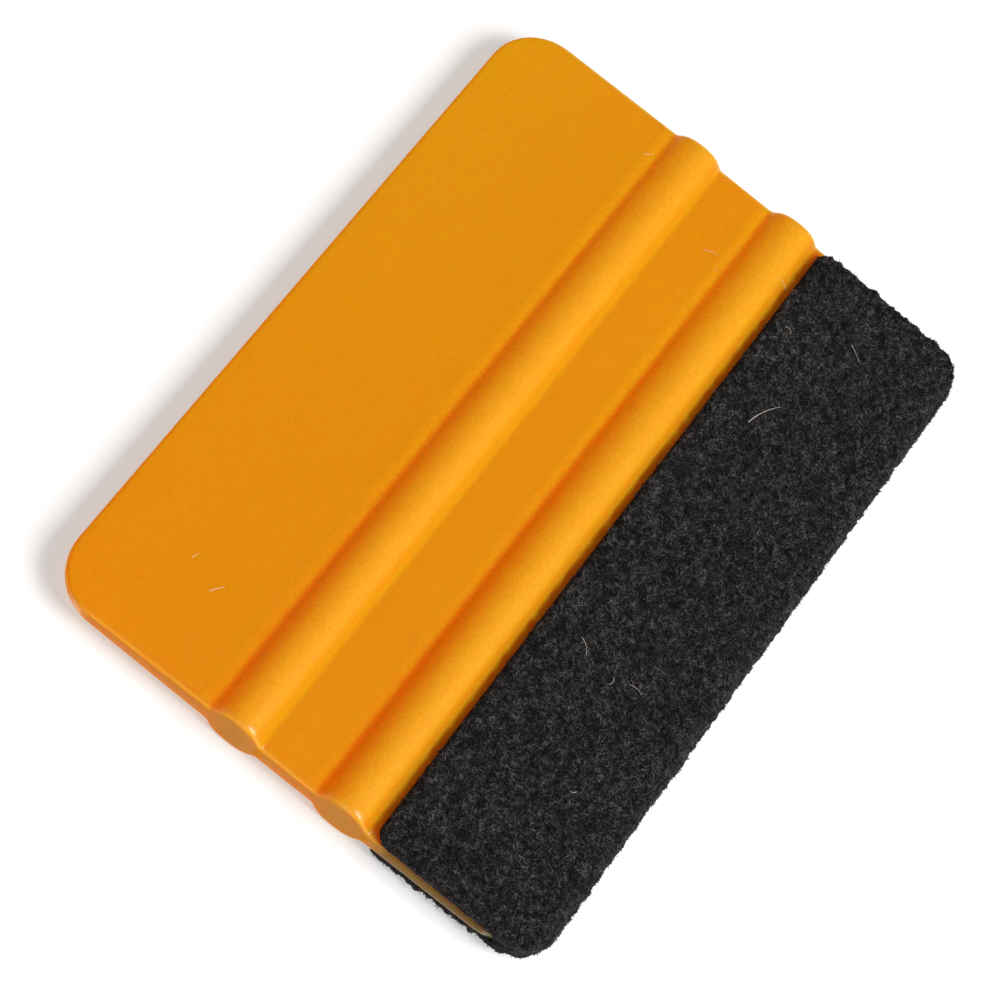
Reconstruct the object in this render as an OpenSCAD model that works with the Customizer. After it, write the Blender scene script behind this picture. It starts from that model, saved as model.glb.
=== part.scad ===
// Felt-edged hand squeegee for laying vinyl film.
// A moulded plastic card carries two grip ribs on both faces. A felt strip is folded over its
// working edge and held by an adhesive film.
// Millimetres. The card lies flat: X runs along the working edge, Y from the working edge to the
// handle edge, and Z out of the front face. The origin is the middle of the footprint, on the
// surface that the back ribs rest on.

/* [Card outline] */
// Length of the card along its working edge
card_length = 100; // [80:0.5:130]
// Depth from the handle edge to the outside of the folded felt
overall_depth = 72; // [68:0.5:80]
// Radius of the two corners at the handle edge
handle_corner_r = 7; // [3:0.5:12]
// Radius of the two corners at the working edge, under the felt
working_corner_r = 7; // [6:0.5:9]

/* [Card thickness] */
// Thickness over the crests of both ribs
overall_t = 7.4; // [6.8:0.1:8.4]
// Thickness at the handle edge
handle_edge_t = 1.8; // [1.4:0.1:2.6]
// Thickness of the handle panel where it meets the first rib
handle_root_t = 3.4; // [2.9:0.1:3.8]
// Thickness of the flat panel between the ribs
web_t = 2.9; // [2.4:0.1:3.3]
// Thickness of the working edge
working_edge_t = 1.7; // [1.2:0.1:2.2]
// Rounding along the handle edge
handle_edge_r = 0.5; // [0.2:0.05:0.6]

/* [Ribs] */
// Distance from the handle edge to the crest of the first rib
rib_from_handle = 28; // [24:0.1:30]
// Distance from crest to crest
rib_spacing = 15.6; // [13:0.1:17]
// Radius of the crest
rib_crest_r = 4; // [3.8:0.1:4.4]
// Radius of the hollow where a rib meets a panel
rib_foot_r = 0.7; // [0.4:0.1:1]

/* [Felt strip] */
// Thickness of the felt
felt_t = 1.3; // [0.8:0.1:1.8]
// Thickness of the adhesive film under the felt
film_t = 0.1; // [0.05:0.05:0.2]
// Depth of each flap, from the outside of the fold
flap_depth = 23.9; // [18:0.1:23.9]
// How far the ends of the strip stop short of the card's ends
felt_inset = 0.2; // [0.1:0.05:1]
// Radius of the strip's two corners at the fold
fold_corner_r = 5.5; // [5:0.1:6]
// Radius of the strip's corners beside the second rib
flap_corner_r = 1.8; // [0.5:0.1:4]

/* [Hidden] */
$fn = 96;

mid_z = overall_t / 2;
overshoot = 2;
// Where a face runs into a round, it does so this far under the round's own surface.
bite = 0.01;

handle_y = overall_depth / 2;
fold_y = -overall_depth / 2;
flap_top_y = fold_y + flap_depth;
rib_1_y = handle_y - rib_from_handle;
rib_2_y = rib_1_y - rib_spacing;

// Crest circles are centred this far above the card's middle plane.
crest_centre = overall_t / 2 - rib_crest_r;

// The working edge is a full round, and both faces run tangent to it.
nose_r = working_edge_t / 2;
working_y = fold_y + felt_t + film_t;
nose_y = working_y + nose_r;
working_slope = tangent_slope(nose_r, rib_2_y - nose_y, web_t / 2);

// Each handle face runs tangent to the small round along the handle edge.
edge_round_y = handle_y - handle_edge_r;
edge_round_z = handle_edge_t / 2 - handle_edge_r;
handle_slope = tangent_slope(handle_edge_r, edge_round_y - rib_1_y, handle_root_t / 2 - edge_round_z);

// Slope of a line that is tangent to a circle of radius r at the origin and has height h at run l.
function tangent_slope(r, l, h) = acos(r / norm([l, h])) - atan2(l, h);

// Unit vectors along a face that rises by angle a, and out of it.
function along(a) = [cos(a), sin(a)];
function out_of(a) = [-sin(a), cos(a)];

// Rectangle from low to high, with one radius for its lower corners and one for its upper corners.
module rounded_panel(low, high, low_r, high_r) {
    translate([low.x + low_r, low.y])
        square([high.x - low.x - 2 * low_r, high.y - low.y - high_r]);
    translate([low.x + high_r, low.y + low_r])
        square([high.x - low.x - 2 * high_r, high.y - low.y - low_r]);
    translate([low.x, low.y + low_r])
        square([high.x - low.x, high.y - low.y - low_r - high_r]);
    for (x = [low.x + low_r, high.x - low_r])
        translate([x, low.y + low_r]) circle(low_r);
    for (x = [low.x + high_r, high.x - high_r])
        translate([x, high.y - high_r]) circle(high_r);
}

// Sweeps a section, drawn as Y across and height over the middle plane, along X.
module along_x(length) {
    translate([-length / 2, 0, mid_z])
        rotate([90, 0, 90])
            linear_extrude(length) children();
}

// Cuts an outline, drawn in X and Y, right through the thickness.
module through_z() {
    translate([0, 0, -overshoot])
        linear_extrude(overall_t + 2 * overshoot) children();
}

// Section of the card from the handle edge to the first rib.
module handle_section() {
    inner_r = handle_edge_r - bite;
    shoulder = [edge_round_y, edge_round_z] + inner_r * out_of(-handle_slope);
    polygon([
        [rib_1_y, bite - handle_root_t / 2],
        [shoulder.x, -shoulder.y],
        [handle_y - bite, -edge_round_z],
        [handle_y - bite, edge_round_z],
        shoulder,
        [rib_1_y, handle_root_t / 2 - bite],
    ]);
    for (side = [-1, 1])
        translate([edge_round_y, side * edge_round_z]) circle(handle_edge_r);
}

// Section of the card under the felt, grown outwards by a lining's thickness.
module working_section(lining) {
    outer_r = nose_r + lining;
    start = [nose_y, 0] + (outer_r - bite) * out_of(working_slope);
    end = start + (rib_2_y - nose_y) * along(working_slope);
    polygon([[start.x, -start.y], [end.x, -end.y], end, start]);
    translate([nose_y, 0]) circle(outer_r);
}

// Flat panel between the ribs.
module web_section() {
    translate([rib_2_y, -web_t / 2]) square([rib_spacing, web_t]);
}

// Lens-shaped section of one rib, proud of both faces.
module rib_section(y) {
    intersection() {
        translate([y, crest_centre]) circle(rib_crest_r);
        translate([y, -crest_centre]) circle(rib_crest_r);
    }
}

// Hollow fillet between the rib at y and the panel beside it. The panel's face has the given height
// under the crest. side is 1 towards the handle edge and -1 towards the felt, and face is 1 on the
// front and -1 on the back.
module foot_fillet(y, face_height, slope, side, face) {
    crest = [y, crest_centre];
    reach = rib_crest_r + rib_foot_r - bite;
    rise = rib_foot_r + (face_height - crest_centre) * cos(slope) - 2 * bite;
    centre = crest + side * sqrt(reach * reach - rise * rise) * along(slope) + rise * out_of(slope);
    on_crest = crest + (centre - crest) * (rib_crest_r - 2 * bite) / reach;
    on_face = centre - (rib_foot_r + bite) * out_of(slope);
    corners = side * face > 0
        ? [on_face, centre, on_crest, [y, 0]]
        : [[y, 0], on_crest, centre, on_face];
    difference() {
        polygon([for (p = corners) [p.x, face * p.y]]);
        translate([centre.x, face * centre.y]) circle(rib_foot_r);
    }
}

// The eight fillets of the two ribs.
module foot_fillets() {
    for (face = [-1, 1]) {
        foot_fillet(rib_1_y, handle_root_t / 2, -handle_slope, 1, face);
        foot_fillet(rib_1_y, web_t / 2, 0, -1, face);
        foot_fillet(rib_2_y, web_t / 2, 0, 1, face);
        foot_fillet(rib_2_y, web_t / 2, working_slope, -1, face);
    }
}

module card_section() {
    handle_section();
    web_section();
    working_section(0);
    rib_section(rib_1_y);
    rib_section(rib_2_y);
    foot_fillets();
}

module card_solid() {
    intersection() {
        along_x(card_length + 2 * overshoot) card_section();
        through_z() rounded_panel(
            [-card_length / 2, working_y], [card_length / 2, handle_y],
            working_corner_r, handle_corner_r
        );
    }
}

// The card's working side, grown by the film and cut off at top_y.
module lined_card(top_y) {
    half_length = card_length / 2 + film_t;
    intersection() {
        along_x(card_length + 2 * overshoot) working_section(film_t);
        through_z() rounded_panel(
            [-half_length, working_y - film_t], [half_length, top_y],
            working_corner_r + film_t, 0
        );
    }
}

// Outline of the strip as it lies folded over the working edge.
module strip_outline() {
    half_length = card_length / 2 - felt_inset;
    rounded_panel(
        [-half_length, fold_y], [half_length, flap_top_y],
        fold_corner_r, flap_corner_r
    );
}

// The moulded card: handle panel, two ribs, flat web and tapered working edge in one piece.
module card() {
    color("darkorange") card_solid();
}

// The adhesive film between the card and the felt, on both faces and round the working edge.
module adhesive_film() {
    color("lightsteelblue") difference() {
        intersection() {
            lined_card(flap_top_y + overshoot);
            through_z() strip_outline();
        }
        card_solid();
    }
}

// The felt strip: a front flap, the fold over the working edge, and a back flap.
module felt_strip() {
    color("dimgray") difference() {
        intersection() {
            along_x(card_length + 2 * overshoot) working_section(film_t + felt_t);
            through_z() strip_outline();
        }
        lined_card(flap_top_y + overshoot);
    }
}

card();
adhesive_film();
felt_strip();
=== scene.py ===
"""Looks of the felt-edged squeegee applicator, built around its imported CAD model.

Metres, in the CAD frame: X runs along the working edge, Y from the felt fold to the handle edge,
and Z out of the front face. The back ribs stand on Z = 0.
"""

import math

import bpy
import numpy as np
from mathutils import Matrix, Vector, noise


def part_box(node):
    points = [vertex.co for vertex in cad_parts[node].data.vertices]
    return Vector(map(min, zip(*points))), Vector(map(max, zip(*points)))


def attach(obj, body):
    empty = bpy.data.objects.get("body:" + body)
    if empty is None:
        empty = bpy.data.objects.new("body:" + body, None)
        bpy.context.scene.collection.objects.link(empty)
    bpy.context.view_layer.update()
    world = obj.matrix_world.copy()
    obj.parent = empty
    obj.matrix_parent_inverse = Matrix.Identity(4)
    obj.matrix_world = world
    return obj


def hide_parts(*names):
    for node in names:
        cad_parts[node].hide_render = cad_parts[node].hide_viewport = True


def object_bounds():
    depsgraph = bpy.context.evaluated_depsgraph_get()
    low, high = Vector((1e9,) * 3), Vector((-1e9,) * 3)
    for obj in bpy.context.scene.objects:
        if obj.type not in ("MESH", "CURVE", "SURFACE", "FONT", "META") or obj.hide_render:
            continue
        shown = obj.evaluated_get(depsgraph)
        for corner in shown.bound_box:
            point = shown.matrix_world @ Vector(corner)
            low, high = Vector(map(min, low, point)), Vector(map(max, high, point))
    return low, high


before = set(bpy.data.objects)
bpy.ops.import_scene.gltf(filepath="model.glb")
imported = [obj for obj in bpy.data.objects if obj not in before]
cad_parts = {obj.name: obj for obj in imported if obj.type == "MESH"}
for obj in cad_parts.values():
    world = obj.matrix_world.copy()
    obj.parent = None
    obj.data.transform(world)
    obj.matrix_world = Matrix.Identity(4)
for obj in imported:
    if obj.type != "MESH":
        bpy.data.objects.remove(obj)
cad_low, cad_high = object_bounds()

MM = 0.001

# ---------------------------------------------------------------- places, from the frame
CARD_LOW, CARD_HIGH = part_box("card")
FELT_LOW, FELT_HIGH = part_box("felt_strip")
MID_Z = (CARD_LOW.z + CARD_HIGH.z) / 2
HALF_LENGTH = CARD_HIGH.x
HANDLE_Y = CARD_HIGH.y
WORKING_Y = CARD_LOW.y
CREST_HEIGHT = CARD_HIGH.z - MID_Z

# ---------------------------------------------------------------- the card's section
RIB_1_Y = HANDLE_Y - 28 * MM
RIB_SPACING = 15.6 * MM
RIB_2_Y = RIB_1_Y - RIB_SPACING
RIBS = (RIB_1_Y, RIB_2_Y)
CREST_R = 4 * MM
FOOT_R = 0.7 * MM
HANDLE_ROOT_HALF = 1.7 * MM
HANDLE_EDGE_HALF = 0.9 * MM
WEB_HALF = 1.45 * MM
WORKING_EDGE_HALF = 0.85 * MM
CORNER_R = 7 * MM
CREST_CENTRE = CREST_HEIGHT - CREST_R
NOSE_Y = WORKING_Y + WORKING_EDGE_HALF
FLAP_Y = FELT_HIGH.y
HANDLE_EDGE_R = 0.5 * MM
HANDLE_SLOPE = (HANDLE_EDGE_HALF - HANDLE_ROOT_HALF) / (HANDLE_Y - HANDLE_EDGE_R - RIB_1_Y)
WORKING_SLOPE = (WEB_HALF - WORKING_EDGE_HALF) / (RIB_2_Y - WORKING_Y - WORKING_EDGE_HALF)

# Rounding of the moulded rim: along the short ends, at the rib ends, and along the two long edges.
END_RIM_R = 0.42 * MM
RIB_RIM_R = 0.8 * MM
RIB_RIM_REACH = 2.2 * MM
HANDLE_RIM_R = 0.5 * MM
WORKING_RIM_R = 0.82 * MM

# How finely the card is meshed.
RIM_STEPS = 7
CORNER_STEPS = 10
GRID_INSET = 1.3 * MM
COLUMN_STEP = 2 * MM
PANEL_ROW_STEP = 1.5 * MM
CREST_ROWS = 33
HOLLOW_ROWS = 9
ROWS_BESIDE_HOLLOW = (0.15 * MM, 0.5 * MM)


# ================================================================ mesh helpers
def new_object(name, points, faces, material, smooth=True):
    """A mesh object in the CAD frame, with one material."""
    mesh = bpy.data.meshes.new(name)
    mesh.from_pydata([tuple(p) for p in points], [], faces)
    mesh.materials.append(material)
    mesh.polygons.foreach_set("use_smooth", [smooth] * len(mesh.polygons))
    mesh.validate()
    made = bpy.data.objects.new(name, mesh)
    bpy.context.scene.collection.objects.link(made)
    return made


def steps(start, end, longest):
    """Even steps from start to end, both included, none longer than longest."""
    return np.linspace(start, end, max(1, math.ceil(abs(end - start) / longest)) + 1)


# ================================================================ card
def panel_line(y):
    """Height over the middle plane of the flat face at y, without ribs, and its slope."""
    if y > RIB_1_Y:
        return HANDLE_ROOT_HALF + HANDLE_SLOPE * (y - RIB_1_Y), HANDLE_SLOPE
    if y > RIB_2_Y:
        return WEB_HALF, 0.0
    return WEB_HALF + WORKING_SLOPE * (y - RIB_2_Y), WORKING_SLOPE


def foot_round(rib_y, side):
    """Centre of the hollow between a rib and the panel on that side, and the Y of its two ends."""
    height, slope = panel_line(rib_y + side * CREST_R)
    height -= slope * side * CREST_R
    tilt = math.atan(slope)
    along = np.array([math.cos(tilt), math.sin(tilt)])
    out = np.array([-math.sin(tilt), math.cos(tilt)])
    crest = np.array([rib_y, CREST_CENTRE])
    rise = FOOT_R + (height - CREST_CENTRE) * math.cos(tilt)
    reach = CREST_R + FOOT_R
    centre = crest + side * math.sqrt(reach**2 - rise**2) * along + rise * out
    shoulder = crest + (centre - crest) * CREST_R / reach
    return centre, shoulder[0], (centre - FOOT_R * out)[0]


FEET = {(rib_y, side): foot_round(rib_y, side) for rib_y in RIBS for side in (-1, 1)}


def face(y):
    """Height of the card's face over the middle plane at y, and its slope."""
    for rib_y in RIBS:
        side = 1 if y > rib_y else -1
        centre, shoulder, foot = FEET[rib_y, side]
        if abs(y - rib_y) <= abs(shoulder - rib_y):
            rise = math.sqrt(CREST_R**2 - (y - rib_y) ** 2)
            return CREST_CENTRE + rise, -(y - rib_y) / rise
        if abs(y - rib_y) < abs(foot - rib_y):
            drop = math.sqrt(FOOT_R**2 - (y - centre[0]) ** 2)
            return centre[1] - drop, (y - centre[0]) / drop
    return panel_line(y)


def rib_rows(rib_y):
    """Y of the rows over one rib and its two hollows, close together where the face turns."""
    low, high = FEET[rib_y, -1], FEET[rib_y, 1]
    turn = math.asin((high[1] - rib_y) / CREST_R)
    back = math.asin((low[1] - rib_y) / CREST_R)
    rows = [rib_y + CREST_R * math.sin(a) for a in np.linspace(back, turn, CREST_ROWS)]
    for _, shoulder, foot in (low, high):
        rows += list(np.linspace(shoulder, foot, HOLLOW_ROWS)[1:])
        rows += [foot + math.copysign(away, foot - rib_y) for away in ROWS_BESIDE_HOLLOW]
    return rows


def section_rows():
    """Y of every row of the card's faces between the plan corners."""
    low, high = WORKING_Y + CORNER_R, HANDLE_Y - CORNER_R
    rows = rib_rows(RIB_1_Y) + rib_rows(RIB_2_Y)
    gaps = [(low, min(rows)), (max(rib_rows(RIB_2_Y)), min(rib_rows(RIB_1_Y))), (max(rows), high)]
    for start, end in gaps:
        rows += list(steps(start, end, PANEL_ROW_STEP))
    return sorted({round(y, 8) for y in rows})


def corner_steps(radius):
    """How far each corner step lies from the corner's centre line, from the rim inwards."""
    return [radius * math.cos(math.pi / 2 * k / CORNER_STEPS) for k in range(CORNER_STEPS)]


def rim_radius(y, outward):
    """Rounding of the rim at y: larger at the rib ends, and blended round the plan corners."""
    swell = sum(math.exp(-(((y - rib_y) / RIB_RIM_REACH) ** 2)) for rib_y in RIBS)
    short_end = END_RIM_R + (RIB_RIM_R - END_RIM_R) * min(1, swell)
    long_edge = HANDLE_RIM_R if y > 0 else WORKING_RIM_R
    share = outward.x**2
    return share * short_end + (1 - share) * long_edge


def card_columns_and_rows():
    """X of the columns and Y of the rows of the grid inside the rim."""
    radius = CORNER_R - GRID_INSET
    side, low, high = HALF_LENGTH - CORNER_R, WORKING_Y + CORNER_R, HANDLE_Y - CORNER_R
    reach = corner_steps(radius)
    columns = [-side - r for r in reach]
    columns += list(steps(-side, side, COLUMN_STEP))
    columns += [side + r for r in reversed(reach)]
    rows = [low - r for r in reach] + section_rows() + [high + r for r in reversed(reach)]
    return columns, rows


def grid_border(columns, rows):
    """Grid places along the grid's border, anticlockwise from above."""
    n, c, r = CORNER_STEPS, columns - 1, rows - 1
    border = [(i, 0) for i in range(n, c - n)]
    border += [(c - n + k, k) for k in range(n)]
    border += [(c, j) for j in range(n, r - n)]
    border += [(c - k, r - n + k) for k in range(n)]
    border += [(i, r) for i in range(c - n, n, -1)]
    border += [(n - k, r - k) for k in range(n)]
    border += [(0, j) for j in range(r - n, n, -1)]
    border += [(k, n - k) for k in range(n)]
    return border


def outward_at(x, y):
    """Unit vector in plan from the card's middle to the rim nearest to a point of the border."""
    side, low, high = HALF_LENGTH - CORNER_R, WORKING_Y + CORNER_R, HANDLE_Y - CORNER_R
    core = Vector((min(max(x, -side), side), min(max(y, low), high), 0))
    return (Vector((x, y, 0)) - core).normalized()


def rim_points(x, y, up):
    """Points from the grid's border over the rounded rim of one face, and on to the edge's band."""
    outward = outward_at(x, y)
    radius = rim_radius(y, outward)
    top = Vector((x, y, 0)) + outward * (GRID_INSET - radius)
    height, slope = face(top.y)
    normal = Vector((0, -slope, 1)).normalized()
    centre = Vector((top.x, top.y, height)) - normal * radius
    found = []
    for step in range(RIM_STEPS + 1):
        turn = math.pi / 2 * step / RIM_STEPS
        p = centre + radius * (math.cos(turn) * normal + math.sin(turn) * outward)
        found.append((p.x, p.y, MID_Z + up * p.z))
    return found


def card_face(up, points, faces):
    """One face of the card with its rim. Returns the rim's last ring of point numbers."""
    columns, rows = card_columns_and_rows()
    last_c, last_r = len(columns) - 1, len(rows) - 1
    number = {}
    for j, y in enumerate(rows):
        height = MID_Z + up * face(y)[0]
        for i, x in enumerate(columns):
            if min(i, last_c - i) + min(j, last_r - j) >= CORNER_STEPS:
                number[i, j] = len(points)
                points.append((x, y, height))
    for j in range(last_r):
        for i in range(last_c):
            cell = [number[p] for p in ((i, j), (i + 1, j), (i + 1, j + 1), (i, j + 1)) if p in number]
            if len(cell) > 2:
                faces.append(cell[::up])
    border = grid_border(len(columns), len(rows))
    rings = [[number[p] for p in border]]
    rim = [rim_points(columns[i], rows[j], up) for i, j in border]
    for step in range(RIM_STEPS + 1):
        rings.append(list(range(len(points), len(points) + len(rim))))
        points += [p[step] for p in rim]
    for inner, outer in zip(rings, rings[1:]):
        join_rings(inner, outer, up, faces)
    return rings[-1]


def join_rings(inner, outer, up, faces):
    """A band of quads between two rings of the same count."""
    for k in range(len(inner)):
        after = (k + 1) % len(inner)
        faces.append([inner[k], outer[k], outer[after], inner[after]][::up])


def make_card(material):
    """The moulded card, on the CAD node's own section and outline, with its rims rounded."""
    points, faces = [], []
    front = card_face(1, points, faces)
    back = card_face(-1, points, faces)
    join_rings(front, back, 1, faces)
    card = new_object("squeegee_card", points, faces, material)
    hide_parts("card")
    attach(card, "root")
    return card


# ================================================================ felt
FELT_VOXEL = 0.34 * MM
FELT_SMOOTHING = 4
FELT_THICKNESS = 1.3 * MM
CUT_EDGE_INSET = 0.08 * MM

# The strip lies a little off centre, and its film ends short of its cut ends.
STRIP_SHIFT = Vector((-0.18, 0, 0)) * MM
FILM_INSET = 0.35 * MM

# Layers of the nap's unevenness: lumps in a metre, their height in millimetres, and where they start.
NAP_LAYERS = [
    (120, 0.05, Vector((0, 0, 0))),  # soft waves
    (650, 0.16, Vector((3, 7, 1))),  # tufts
    (1250, 0.34, Vector((9, 2, 5))),  # short ragged clumps
]

# Away from its cut edges, the strip has a nap from this far off the card, growing over the next stretch.
NAP_FLOOR = 0.3 * MM
NAP_GROWTH = 0.5 * MM


def over_wedge(p):
    """How far a point lies out of the card's wedge, which the felt wraps."""
    if p.y < NOSE_Y:
        return math.hypot(p.y - NOSE_Y, p.z - MID_Z) - WORKING_EDGE_HALF
    return abs(p.z - MID_Z) - panel_line(min(p.y, RIB_2_Y))[0]


def nap_lift(p):
    """How far the nap stands out at a point."""
    return sum(height * noise.noise(p * per_metre + start) for per_metre, height, start in NAP_LAYERS) * MM


def make_felt(material):
    """The felt strip: the CAD strip's shape, remeshed evenly, softened, and raised into a nap."""
    rough = bpy.data.objects.new("felt_rough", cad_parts["felt_strip"].data.copy())
    bpy.context.scene.collection.objects.link(rough)
    remesh = rough.modifiers.new("even", "REMESH")
    remesh.mode = "VOXEL"
    remesh.voxel_size = FELT_VOXEL
    soften = rough.modifiers.new("soften", "SMOOTH")
    soften.iterations = FELT_SMOOTHING
    graph = bpy.context.evaluated_depsgraph_get()
    mesh = bpy.data.meshes.new_from_object(rough.evaluated_get(graph))
    bpy.data.objects.remove(rough)
    raise_nap(mesh)
    mesh.materials.clear()
    mesh.materials.append(material)
    mesh.polygons.foreach_set("use_smooth", [True] * len(mesh.polygons))
    felt = bpy.data.objects.new("felt", mesh)
    bpy.context.scene.collection.objects.link(felt)
    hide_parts("felt_strip")
    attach(felt, "root")
    return felt


def raise_nap(mesh):
    """Moves the strip's outer points out and in along their normals."""
    lifts = []
    for vertex in mesh.vertices:
        outer = min(1, max(0, (over_wedge(vertex.co) - NAP_FLOOR) / NAP_GROWTH))
        cut = 1 - abs(vertex.normal.z) if vertex.co.y > NOSE_Y + FELT_THICKNESS else 0
        lift = nap_lift(vertex.co) * max(outer, cut) - CUT_EDGE_INSET * cut
        lifts.append(vertex.normal * lift)
    for vertex, lift in zip(mesh.vertices, lifts):
        vertex.co += lift + STRIP_SHIFT


# ================================================================ film
def make_film(material):
    """The adhesive film: the CAD film's shape, off centre like the strip and a little shorter."""
    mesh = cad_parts["adhesive_film"].data.copy()
    shorter = 1 - FILM_INSET / FELT_HIGH.x
    mesh.transform(Matrix.Translation(STRIP_SHIFT) @ Matrix.Diagonal((shorter, 1, 1, 1)))
    mesh.materials.clear()
    mesh.materials.append(material)
    film = bpy.data.objects.new("adhesive", mesh)
    bpy.context.scene.collection.objects.link(film)
    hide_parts("adhesive_film")
    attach(film, "root")


# ================================================================ loose fibres
NAP_SEED = 7

# Fibres and tufts root only where the strip lies further than this off the card.
NAP_FROM = 0.2 * MM

# Rises, the bend and the root's depth are shares of a fibre's length.
NAP_FIBRES = 5200
NAP_FIBRE_R = 0.024 * MM
FIBRE_LENGTH = (0.3 * MM, 0.8 * MM)
FIBRE_RISE = (0.05, 0.35)
EDGE_FIBRE_RISE = (0.05, 0.5)
EDGE_LENGTH_SHARE = 0.7
EDGE_CROWDING = 4

# Matted tufts are short and thick, and mostly on the cut edges and the fold.
NAP_TUFTS = 4000
NAP_TUFT_R = 0.075 * MM
TUFT_LENGTH = (0.12 * MM, 0.3 * MM)
TUFT_RISE = (0.2, 1.1)
TUFT_CROWDING = 60

FIBRE_SIDES = 3
TIP_THINNING = 0.6
FIBRE_STEPS = (0.0, 0.35, 0.7, 1.0)
FIBRE_BEND = 0.8
FIBRE_DROOP = 1.2
ROOT_DEPTH = 0.04
EDGE_NORMAL_Z = 0.6


def fibre(path, radius, points, faces):
    """A closed three-sided thread along a path, thinning to its tip."""
    first = len(points)
    for k, spot in enumerate(path):
        ahead = path[min(k + 1, len(path) - 1)] - path[max(k - 1, 0)]
        across = ahead.orthogonal().normalized()
        thin = radius * (1 - TIP_THINNING * k / (len(path) - 1))
        for side in range(FIBRE_SIDES):
            turn = Matrix.Rotation(2 * math.pi * side / FIBRE_SIDES, 3, ahead)
            points.append(spot + turn @ across * thin)
    rings = [list(range(start, start + FIBRE_SIDES)) for start in range(first, len(points), FIBRE_SIDES)]
    for ring, after in zip(rings, rings[1:]):
        for side in range(FIBRE_SIDES):
            beside = (side + 1) % FIBRE_SIDES
            faces.append([ring[side], ring[beside], after[beside], after[side]])
    faces.append(rings[0][::-1])
    faces.append(rings[-1])


def nap_spots(mesh, count, crowding, random):
    """Places spread over the strip's outside, closer together on its edges and its fold."""
    outside = [f for f in mesh.polygons if over_wedge(f.center) > NAP_FROM]
    shares = np.array([f.area * (crowding if is_edge(f.normal) else 1) for f in outside])
    picked = random.choice(len(outside), count, p=shares / shares.sum())
    return [(outside[i].center.copy(), outside[i].normal.copy()) for i in picked]


def is_edge(normal):
    """True on the cut edges and on the outside of the fold."""
    return abs(normal.z) < EDGE_NORMAL_Z


def fibre_path(root, normal, length, rise, random):
    """A short curl that leaves the nap at a low angle and bends back towards it."""
    sideways = normal.orthogonal().normalized()
    sideways.rotate(Matrix.Rotation(random.uniform(0, 2 * math.pi), 3, normal))
    bend = normal.cross(sideways) * random.uniform(-FIBRE_BEND, FIBRE_BEND)
    path = []
    for t in FIBRE_STEPS:
        along = sideways * t + bend * t * t
        up = normal * (rise * t * (1 + FIBRE_DROOP * (1 - t)) - ROOT_DEPTH)
        path.append(root + (along + up) * length)
    return path


def make_nap_fibres(felt, material):
    """Fine fibres all over the felt's outside, and thicker matted tufts along its edges."""
    random = np.random.default_rng(NAP_SEED)
    points, faces = [], []
    for root, normal in nap_spots(felt.data, NAP_FIBRES, EDGE_CROWDING, random):
        on_edge = is_edge(normal)
        length = random.uniform(*FIBRE_LENGTH) * (EDGE_LENGTH_SHARE if on_edge else 1)
        rise = random.uniform(*(EDGE_FIBRE_RISE if on_edge else FIBRE_RISE))
        fibre(fibre_path(root, normal, length, rise, random), NAP_FIBRE_R, points, faces)
    for root, normal in nap_spots(felt.data, NAP_TUFTS, TUFT_CROWDING, random):
        length = random.uniform(*TUFT_LENGTH)
        rise = random.uniform(*TUFT_RISE)
        fibre(fibre_path(root, normal, length, rise, random), NAP_TUFT_R, points, faces)
    nap = new_object("felt_nap", points, faces, material)
    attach(nap, "root")
    return nap


# Pale lint, in millimetres and degrees: where each hair starts, from the middle of the flap's top edge,
# its heading, its length, and how far it turns on its way.
LINT = [
    (23, -5.5, -10, 5, -30),
    (37, -2, -60, 1.5, -130),
    (-14, -5, -105, 2.5, -60),
    (-15.5, -11, -145, 1.5, -100),
    (-15, -13, -70, 2, -50),
    (41, -10, -115, 2.5, -15),
    (42, 2, -80, 3, -30),
    (-30, -15.5, 150, 1, -80),
    (39, 12, -50, 2, -40),
    (38, 9.5, -90, 0.5, 10),
    (44.5, 25.5, -55, 1.5, 10),
    (-36.5, 36.5, -10, 1, -20),
    (-38.5, 32.5, -30, 2, -10),
]
LINT_R = 0.036 * MM
LINT_STEP = 0.3 * MM
LINT_OVER_FELT = 0.06 * MM
LINT_FEWEST_STEPS = 4


def lint_height(y):
    """Height at which a hair lies on the felt or on the card's front face."""
    if y < FLAP_Y:
        return FELT_HIGH.z + LINT_OVER_FELT
    return MID_Z + face(y)[0] + LINT_R


def lint_path(across, up, heading, length, turn):
    """A hair that starts across and up from the middle of the flap's edge, and turns evenly as it goes."""
    count = max(LINT_FEWEST_STEPS, round(length * MM / LINT_STEP))
    stride = length * MM / count
    x, y = across * MM, FLAP_Y + up * MM
    path = []
    for k in range(count + 1):
        path.append(Vector((x, y, lint_height(y))))
        angle = math.radians(heading + turn * k / count)
        x += stride * math.cos(angle)
        y += stride * math.sin(angle)
    return path


def make_lint(material):
    """A few pale hairs caught on the felt and the plastic."""
    points, faces = [], []
    for hair in LINT:
        fibre(lint_path(*hair), LINT_R, points, faces)
    lint = new_object("felt_lint", points, faces, material)
    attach(lint, "root")
    return lint


# ================================================================ materials
# The Mix node has sockets for floats and vectors too: these are the ones for colours.
MIX_A = 6
MIX_B = 7
MIX_RESULT = 2


def new_material(name):
    """A node material, with its tree and its Principled shader."""
    material = bpy.data.materials.new(name)
    material.use_nodes = True
    tree = material.node_tree
    return material, tree, tree.nodes["Principled BSDF"]


def feed(tree, socket, value):
    """Sets a socket, from another socket or from a plain value."""
    if isinstance(value, bpy.types.NodeSocket):
        tree.links.new(value, socket)
    else:
        socket.default_value = value


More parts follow.
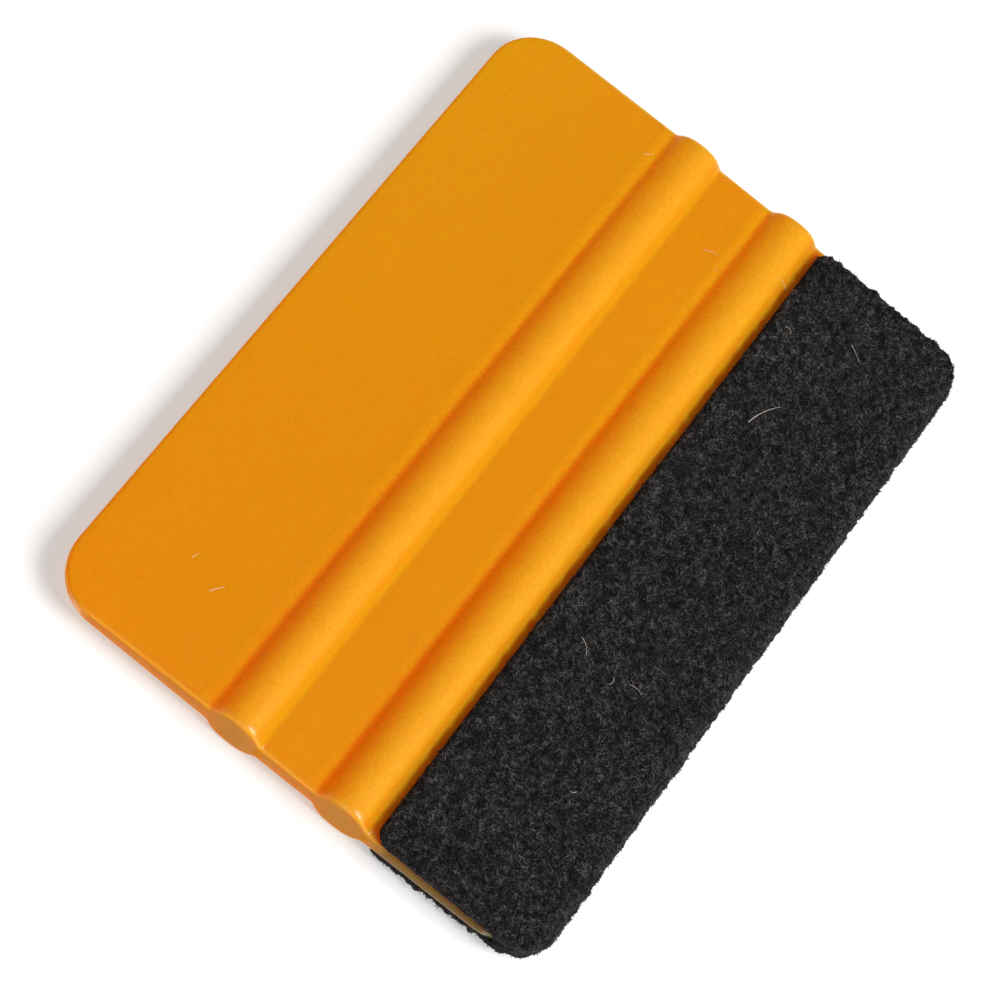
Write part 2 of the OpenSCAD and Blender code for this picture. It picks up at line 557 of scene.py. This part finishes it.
def place(tree, longer=1.0, turn=0.0, shift=0.0):
    """The point in the CAD frame. Textures on it come out that much longer along X, turned about Z."""
    here = tree.nodes.new("ShaderNodeTexCoord").outputs["Object"]
    mapping = tree.nodes.new("ShaderNodeMapping")
    mapping.vector_type = "TEXTURE"
    tree.links.new(here, mapping.inputs["Vector"])
    mapping.inputs["Location"].default_value = (shift, shift, shift)
    mapping.inputs["Rotation"].default_value = (0, 0, turn)
    mapping.inputs["Scale"].default_value = (longer, 1, 1)
    return mapping.outputs["Vector"]


def split(tree, point):
    """The three coordinates of a point."""
    parts = tree.nodes.new("ShaderNodeSeparateXYZ")
    tree.links.new(point, parts.inputs[0])
    return parts.outputs


def cloud(tree, where, per_metre, detail=2.0, distortion=0.0):
    """Noise from 0 to 1, with that many features in a metre."""
    made = tree.nodes.new("ShaderNodeTexNoise")
    feed(tree, made.inputs["Vector"], where)
    made.inputs["Scale"].default_value = per_metre
    made.inputs["Detail"].default_value = detail
    made.inputs["Roughness"].default_value = 0.5
    made.inputs["Distortion"].default_value = distortion
    return made.outputs["Fac"]


def arithmetic(tree, operation, a, b=0.0):
    """A Math node's result for two values."""
    made = tree.nodes.new("ShaderNodeMath")
    made.operation = operation
    feed(tree, made.inputs[0], a)
    feed(tree, made.inputs[1], b)
    return made.outputs[0]


def times(tree, a, b):
    """The product of two values."""
    return arithmetic(tree, "MULTIPLY", a, b)


def spread(tree, value, low, high, to_low=0.0, to_high=1.0):
    """Maps low..high to to_low..to_high, clamped."""
    made = tree.nodes.new("ShaderNodeMapRange")
    feed(tree, made.inputs["Value"], value)
    for name, number in zip(("From Min", "From Max", "To Min", "To Max"), (low, high, to_low, to_high)):
        made.inputs[name].default_value = number
    return made.outputs["Result"]


def near(tree, value, middle, full, none):
    """1 where a value lies within full of the middle, falling to 0 at none."""
    away = arithmetic(tree, "ABSOLUTE", arithmetic(tree, "SUBTRACT", value, middle))
    return spread(tree, away, none, full)


def near_ends(tree, x, start, full):
    """0 up to start inside the card's short ends, growing to 1 at full inside them."""
    return spread(tree, arithmetic(tree, "ABSOLUTE", x), HALF_LENGTH - start, HALF_LENGTH - full)


def blend(tree, share, a, b):
    """Colour a at share 0 and b at share 1."""
    made = tree.nodes.new("ShaderNodeMix")
    made.data_type = "RGBA"
    feed(tree, made.inputs[0], share)
    feed(tree, made.inputs[MIX_A], a)
    feed(tree, made.inputs[MIX_B], b)
    return made.outputs[MIX_RESULT]


def bump(tree, height, depth, under=None):
    """A bump of that depth in metres, on top of another."""
    made = tree.nodes.new("ShaderNodeBump")
    made.inputs["Strength"].default_value = 1.0
    made.inputs["Distance"].default_value = depth
    feed(tree, made.inputs["Height"], height)
    if under:
        tree.links.new(under, made.inputs["Normal"])
    return made.outputs["Normal"]


# ---------------------------------------------------------------- colours, as linear RGBA
WHITE = (1, 1, 1, 1)
GOLD = ((0.675, 0.275, 0.001, 1), (0.695, 0.293, 0.001, 1))
# Painted light: a lighter gold with a painted sheen for the thick ribs.
THICK_RIB_PAINTED_LIGHT_GOLD = (0.785, 0.372, 0.010, 1)
# Painted shade: a deeper gold for the hollows on the ribs' felt side.
FELT_SIDE_HOLLOW_PAINTED_SHADE = (0.675, 0.262, 0.001, 1)
# Painted light: a yellower gold for the thin handle edge, as if lit through.
THIN_EDGE_PAINTED_LIGHT_GOLD = (0.62, 0.36, 0.003, 1)
# Painted light: an orange glow painted into the hollows on the ribs' handle side.
HOLLOW_PAINTED_GLOW_ORANGE = (0.92, 0.31, 0.001, 1)
HOLLOW_PAINTED_GLOW_AMBER = (0.97, 0.42, 0.003, 1)
GRAIN_BROWN = (0.58, 0.21, 0.001, 1)
SCRATCH_PALE = (0.85, 0.42, 0.06, 1)
# Felt dust and painted shade beside the strip.
DUST_AND_SHADE_ORANGE = (0.60, 0.15, 0.001, 1)
# Painted highlight for the rims of the short ends.
RIM_PAINTED_HIGHLIGHT = (0.93, 0.48, 0.06, 1)
# Painted shade for the flat end faces.
END_PAINTED_SHADE_BROWN = (0.47, 0.18, 0.004, 1)
# Painted shade for the plastic under the felt, lighter and darker.
UNDER_FELT_PAINTED_SHADE = ((0.24, 0.115, 0.003, 1), (0.12, 0.07, 0.002, 1))
SMEAR_GREY = (0.19, 0.17, 0.115, 1)
FILM_GREY = ((0.10, 0.11, 0.115, 1), (0.26, 0.27, 0.27, 1))
FILM_DUSTY = (0.008, 0.007, 0.006, 1)
FELT_GAPS = ((0.0022, 0.0020, 0.0021, 1), (0.0075, 0.0069, 0.0068, 1))
FELT_STROKE = (0.108, 0.101, 0.099, 1)
FIBRE_COLOURS = ((0.014, 0.013, 0.013, 1), (0.095, 0.089, 0.087, 1))
LINT_COLOURS = ((0.80, 0.73, 0.60, 1), (0.97, 0.94, 0.88, 1))
FLOOR_GREY = ((0.60, 0.60, 0.60, 1), (0.63, 0.63, 0.63, 1))
FLOOR_GLOW = 0.42

# ---------------------------------------------------------------- plastic
MOST_NOISE = (0.3, 0.7)  # the part of a noise's range that is used, clamped outside it
HOLLOW_OUT = 3.1 * MM  # from a rib's crest line to the middle of the hollow on either side of it
DUST_AND_SHADE_LINE_Y = FLAP_Y + 1.15 * MM
SCRATCH_LENGTHENING = 40
SCRATCH_WAYS = ((0.5, 0.1), (-0.9, 0.2), (1.9, 0.3))  # turn in radians, and shift of the pattern

# How strongly each tone shows where it shows most.
THIN_EDGE_LIGHT_SHARE = 0.8
GRAIN_SHARE = 0.32
SCRATCH_SHARE = 0.1
DUST_AND_SHADE_SHARES = (0.4, 0.6)
RIM_HIGHLIGHT_SHARE = 0.3
END_SHADE_SHARE = 0.7

SATIN_ROUGHNESS = (0.48, 0.56)
SCRATCH_ROUGHNESS = 0.15
HOLLOW_ROUGHNESS = 0.85
RIM_COAT = 0.6
SCATTER_RADIUS = (1.0, 0.15, 0.02)
SCATTER_SCALE = 8.0 * MM


def scratches(tree):
    """Sparse hairlines in three directions, from 0 to 1."""
    marks = 0.0
    for turn, shift in SCRATCH_WAYS:
        fine = cloud(tree, place(tree, SCRATCH_LENGTHENING, turn, shift), per_metre=3200, detail=1)
        patch = cloud(tree, place(tree, shift=shift), per_metre=120, detail=1)
        line = times(tree, spread(tree, fine, 0.66, 0.72), spread(tree, patch, 0.6, 0.7))
        marks = arithmetic(tree, "MAXIMUM", marks, line)
    return marks


def body_tone(tree, here):
    """The plastic's gold-orange, with light and shade painted in by how thick it is and how the light runs
    in it.
    """
    x, y, z = split(tree, here)
    colour = blend(tree, cloud(tree, here, per_metre=55, detail=3), *GOLD)
    # Painted light: the ribs are thick, so they are painted lighter, with a painted sheen, for the light
    # they scatter back more than the panels.
    height = arithmetic(tree, "ABSOLUTE", arithmetic(tree, "SUBTRACT", z, MID_Z))
    thick_rib_painted_light = spread(tree, height, HANDLE_ROOT_HALF + 0.4 * MM, CREST_HEIGHT)
    colour = blend(tree, thick_rib_painted_light, colour, THICK_RIB_PAINTED_LIGHT_GOLD)
    # Painted light and shade: the ribs' hollows are painted with an orange glow on the handle side, and
    # painted a shade deeper on the felt side.
    along = spread(tree, x, -0.6 * HALF_LENGTH, 0.7 * HALF_LENGTH)
    painted_hollow_glow = blend(tree, along, HOLLOW_PAINTED_GLOW_ORANGE, HOLLOW_PAINTED_GLOW_AMBER)
    for rib_y in RIBS:
        handle_side = near(tree, y, rib_y + HOLLOW_OUT, full=0.4 * MM, none=2.4 * MM)
        felt_side = near(tree, y, rib_y - HOLLOW_OUT, full=0.2 * MM, none=1.0 * MM)
        colour = blend(tree, handle_side, colour, painted_hollow_glow)
        colour = blend(tree, felt_side, colour, FELT_SIDE_HOLLOW_PAINTED_SHADE)
    # Painted light: the thin handle edge is painted yellower for the light it lets through, most of all at
    # one corner.
    corner = spread(tree, x, -0.9 * HALF_LENGTH, HALF_LENGTH, 0.0, THIN_EDGE_LIGHT_SHARE)
    thin = times(tree, spread(tree, y, RIB_1_Y, HANDLE_Y), corner)
    return blend(tree, thin, colour, THIN_EDGE_PAINTED_LIGHT_GOLD)


def wear_and_painted_light_tone(tree, here, colour, grain, marks):
    """A colour with the plastic's grain and scratches, felt dust and adhesive, and painted light and
    shade: highlights on the rims, shade on the ends and beside and under the felt.
    """
    x, y, z = split(tree, here)
    colour = blend(tree, spread(tree, grain, *MOST_NOISE, 0.0, GRAIN_SHARE), colour, GRAIN_BROWN)
    colour = blend(tree, times(tree, marks, SCRATCH_SHARE), colour, SCRATCH_PALE)
    # A speckled line of felt dust and painted shade from the strip's edge lies on the rib above the strip.
    specks = spread(tree, grain, 0.3, 0.6, *DUST_AND_SHADE_SHARES)
    dust_and_shade = times(tree, near(tree, y, DUST_AND_SHADE_LINE_Y, full=0.3 * MM, none=0.9 * MM), specks)
    colour = blend(tree, dust_and_shade, colour, DUST_AND_SHADE_ORANGE)
    # Painted highlight: a pale line along the rims of the short ends.
    rim = times(tree, near_ends(tree, x, start=0.55 * MM, full=0.3 * MM), RIM_HIGHLIGHT_SHARE)
    colour = blend(tree, rim, colour, RIM_PAINTED_HIGHLIGHT)
    # Painted shade: the flat end faces are painted darker brown.
    end = times(tree, near_ends(tree, x, start=0.15 * MM, full=0.02 * MM), END_SHADE_SHARE)
    colour = blend(tree, end, colour, END_PAINTED_SHADE_BROWN)
    # Painted shade: under the felt the plastic is painted dull and dark olive, darker towards the working
    # edge.
    under_felt_shade = blend(tree, spread(tree, y, FLAP_Y - 4 * MM, NOSE_Y + 4 * MM), *UNDER_FELT_PAINTED_SHADE)
    colour = blend(tree, spread(tree, y, FLAP_Y - 0.7 * MM, FLAP_Y - 2.4 * MM), colour, under_felt_shade)
    return blend(tree, smeared(tree, x, y, z), colour, SMEAR_GREY)


def smeared(tree, x, y, z):
    """Share of the pale adhesive that shows on the short ends, low down between the two flaps."""
    half = times(tree, arithmetic(tree, "SUBTRACT", y, NOSE_Y), WORKING_SLOPE)
    half = arithmetic(tree, "ADD", half, WORKING_EDGE_HALF)
    above_back = arithmetic(tree, "ADD", arithmetic(tree, "SUBTRACT", z, MID_Z), half)
    low_down = spread(tree, above_back, 0.9 * MM, 0.6 * MM)
    between = spread(tree, y, FLAP_Y - 0.5 * MM, FLAP_Y - 2 * MM)
    on_end = near_ends(tree, x, start=0.3 * MM, full=0.1 * MM)
    return times(tree, times(tree, low_down, between), on_end)


def card_roughness(tree, here, marks):
    """Satin faces, duller on scratches and in the hollows on the ribs' felt side."""
    y = split(tree, here)[1]
    satin = spread(tree, cloud(tree, here, per_metre=260, detail=3), *MOST_NOISE, *SATIN_ROUGHNESS)
    rough = arithmetic(tree, "ADD", satin, times(tree, marks, SCRATCH_ROUGHNESS))
    for rib_y in RIBS:
        _, shoulder, foot = FEET[rib_y, -1]
        hollow = near(tree, y, (shoulder + foot) / 2, full=0.4 * MM, none=0.9 * MM)
        rough = arithmetic(tree, "MAXIMUM", rough, times(tree, hollow, HOLLOW_ROUGHNESS))
    return rough


def rim_gloss(tree, here):
    """Coat on the moulded rims at the short ends, but not on the flat end faces."""
    x = split(tree, here)[0]
    inside_end = arithmetic(tree, "SUBTRACT", 1.0, near_ends(tree, x, start=0.14 * MM, full=0.05 * MM))
    gloss = times(tree, near_ends(tree, x, start=1.1 * MM, full=0.7 * MM), inside_end)
    return times(tree, gloss, RIM_COAT)


def card_material():
    """Gold-orange satin plastic that lets some light through, glossier on its moulded rims."""
    material, tree, shader = new_material("moulded_gold_plastic")
    here = place(tree)
    grain = cloud(tree, here, per_metre=2400)
    marks = scratches(tree)
    colour = wear_and_painted_light_tone(tree, here, body_tone(tree, here), grain, marks)
    feed(tree, shader.inputs["Base Color"], colour)
    feed(tree, shader.inputs["Roughness"], card_roughness(tree, here, marks))
    feed(tree, shader.inputs["Coat Weight"], rim_gloss(tree, here))
    wavy = bump(tree, cloud(tree, here, per_metre=110), 0.06 * MM)
    grainy = bump(tree, grain, 0.006 * MM, under=wavy)
    feed(tree, shader.inputs["Normal"], bump(tree, marks, 0.004 * MM, under=grainy))
    shader.inputs["Coat Roughness"].default_value = 0.22
    shader.inputs["Specular IOR Level"].default_value = 0.1
    shader.inputs["Subsurface Weight"].default_value = 0.95
    shader.inputs["Subsurface Radius"].default_value = SCATTER_RADIUS
    shader.inputs["Subsurface Scale"].default_value = SCATTER_SCALE
    return material


# ---------------------------------------------------------------- film, felt and fibres
FELT_STROKE_WAYS = 4
FELT_STROKE_LENGTHENING = 4
FELT_STROKE_SHIFT = 0.013
FELT_STROKE_RANGE = (0.57, 0.70)
FELT_TUFT_RANGE = (0.37, 0.63)
FELT_PATCH_TONES = (0.72, 1.0)
FELT_TUFT_TONES = (0.2, 1.0)


def film_material():
    """Thin adhesive film: grey-blue on the back, dark with felt dust on the front and at the fold."""
    material, tree, shader = new_material("adhesive_film_edge")
    here = place(tree)
    _, y, z = split(tree, here)
    streak = cloud(tree, place(tree, longer=6), per_metre=1500, detail=3)
    back = spread(tree, z, MID_Z, MID_Z - 0.4 * MM)
    bare = times(tree, back, spread(tree, y, NOSE_Y + 3 * MM, NOSE_Y + 8 * MM))
    colour = blend(tree, bare, FILM_DUSTY, blend(tree, streak, *FILM_GREY))
    feed(tree, shader.inputs["Base Color"], colour)
    uneven = cloud(tree, here, per_metre=900)
    feed(tree, shader.inputs["Roughness"], spread(tree, uneven, *MOST_NOISE, 0.4, 0.6))
    feed(tree, shader.inputs["Normal"], bump(tree, streak, 0.01 * MM))
    shader.inputs["Specular IOR Level"].default_value = 0.08
    return material


def strokes(tree):
    """Short matted fibres lying several ways, from 0 to 1."""
    matted = 0.0
    for k in range(FELT_STROKE_WAYS):
        turn = math.pi * k / FELT_STROKE_WAYS
        where = place(tree, FELT_STROKE_LENGTHENING, turn, FELT_STROKE_SHIFT * k)
        fibres = cloud(tree, where, per_metre=5300, detail=1, distortion=0.8)
        matted = arithmetic(tree, "MAXIMUM", matted, spread(tree, fibres, *FELT_STROKE_RANGE))
    return matted


def felt_material():
    """Charcoal needled felt: matted fibres over dark gaps, in light and dark tufts."""
    material, tree, shader = new_material("charcoal_felt")
    here = place(tree)
    tufts = spread(tree, cloud(tree, here, per_metre=850, detail=3, distortion=0.8), *FELT_TUFT_RANGE)
    patches = spread(tree, cloud(tree, here, per_metre=260), *MOST_NOISE, *FELT_PATCH_TONES)
    matted = strokes(tree)
    lit = times(tree, matted, spread(tree, tufts, 0, 1, *FELT_TUFT_TONES))
    lit = times(tree, lit, patches)
    colour = blend(tree, lit, blend(tree, tufts, *FELT_GAPS), FELT_STROKE)
    feed(tree, shader.inputs["Base Color"], colour)
    feed(tree, shader.inputs["Roughness"], spread(tree, tufts, 0, 1, 0.85, 0.98))
    woolly = bump(tree, tufts, 0.2 * MM)
    feed(tree, shader.inputs["Normal"], bump(tree, matted, 0.08 * MM, under=woolly))
    shader.inputs["Specular IOR Level"].default_value = 0.08
    shader.inputs["Sheen Weight"].default_value = 0.02
    shader.inputs["Sheen Roughness"].default_value = 0.5
    return material


def fibre_material(name, dark, light):
    """Single fibres, each a little lighter or darker than the next."""
    material, tree, shader = new_material(name)
    here = place(tree)
    tone = spread(tree, cloud(tree, here, per_metre=800), *MOST_NOISE)
    feed(tree, shader.inputs["Base Color"], blend(tree, tone, dark, light))
    feed(tree, shader.inputs["Roughness"], spread(tree, tone, 0, 1, 0.6, 0.85))
    scaly = cloud(tree, here, per_metre=9000, detail=1)
    feed(tree, shader.inputs["Normal"], bump(tree, scaly, 0.004 * MM))
    return material


def floor_material():
    """Pale floor with a glow of its own, so that shadows on it stay light."""
    material, tree, shader = new_material("pale_floor")
    tone = cloud(tree, place(tree), per_metre=3)
    feed(tree, shader.inputs["Base Color"], blend(tree, tone, *FLOOR_GREY))
    shader.inputs["Roughness"].default_value = 0.9
    shader.inputs["Specular IOR Level"].default_value = 0.1
    shader.inputs["Emission Color"].default_value = WHITE
    shader.inputs["Emission Strength"].default_value = FLOOR_GLOW
    return material


# ================================================================ stage
CAMERA_AT = Vector((-190.1, 6.7, 381.1)) * MM
CAMERA_TARGET = Vector((-6.4, 0.5, 6.0)) * MM
CAMERA_ROLL = math.radians(40.4)
LENS_MM = 125.7
SENSOR_MM = 36
CLIP_START = 10 * MM
FLOOR_HALF = 3.0
SURROUND_STRENGTH = 0.22


def make_camera():
    """The photograph's camera: above the front face, over one short end, and rolled."""
    data = bpy.data.cameras.new("camera")
    data.lens = LENS_MM
    data.sensor_width = SENSOR_MM
    data.clip_start = CLIP_START
    camera = bpy.data.objects.new("camera", data)
    aim = (CAMERA_TARGET - CAMERA_AT).to_track_quat("-Z", "Y").to_matrix()
    turned = aim @ Matrix.Rotation(CAMERA_ROLL, 3, "Z")
    camera.matrix_world = Matrix.Translation(CAMERA_AT) @ turned.to_4x4()
    bpy.context.scene.collection.objects.link(camera)
    bpy.context.scene.camera = camera


def make_floor():
    """A wide flat floor, on which the back ribs rest."""
    half, low = FLOOR_HALF, cad_low.z
    corners = [(-half, -half, low), (half, -half, low), (half, half, low), (-half, half, low)]
    new_object("floor", corners, [(0, 1, 2, 3)], floor_material(), smooth=False)


def soft_box(name, direction, distance, width, watts, colour=WHITE[:3]):
    """A square area light that faces the object from a direction."""
    data = bpy.data.lights.new(name, "AREA")
    data.size = width
    data.energy = watts
    data.color = colour
    light = bpy.data.objects.new(name, data)
    away = Vector(direction).normalized()
    light.location = away * distance
    light.rotation_euler = away.to_track_quat("Z", "Y").to_euler()
    bpy.context.scene.collection.objects.link(light)


def make_lights():
    """A soft key from the felt side, weak fills, and a pale surround."""
    soft_box("key", direction=(0.0, -0.68, 0.73), distance=1.3, width=0.65, watts=20.5)
    soft_box("rim_fill", direction=(-0.86, -0.05, 0.5), distance=1.4, width=0.25, watts=1.2)
    warm = (1.0, 0.62, 0.45)
    soft_box("warm_fill", direction=(0.05, 0.94, 0.34), distance=1.4, width=0.8, watts=3.2, colour=warm)
    world = bpy.data.worlds.new("pale_surround")
    world.use_nodes = True
    surround = world.node_tree.nodes["Background"]
    surround.inputs["Color"].default_value = WHITE
    surround.inputs["Strength"].default_value = SURROUND_STRENGTH
    bpy.context.scene.world = world
    bpy.context.scene.view_settings.view_transform = "Standard"


# ================================================================ the whole model
make_camera()
make_floor()
make_lights()
card = make_card(card_material())
make_film(film_material())
felt = make_felt(felt_material())
lint = make_lint(fibre_material("pale_lint", *LINT_COLOURS))
nap = make_nap_fibres(felt, fibre_material("felt_fibre", *FIBRE_COLOURS))
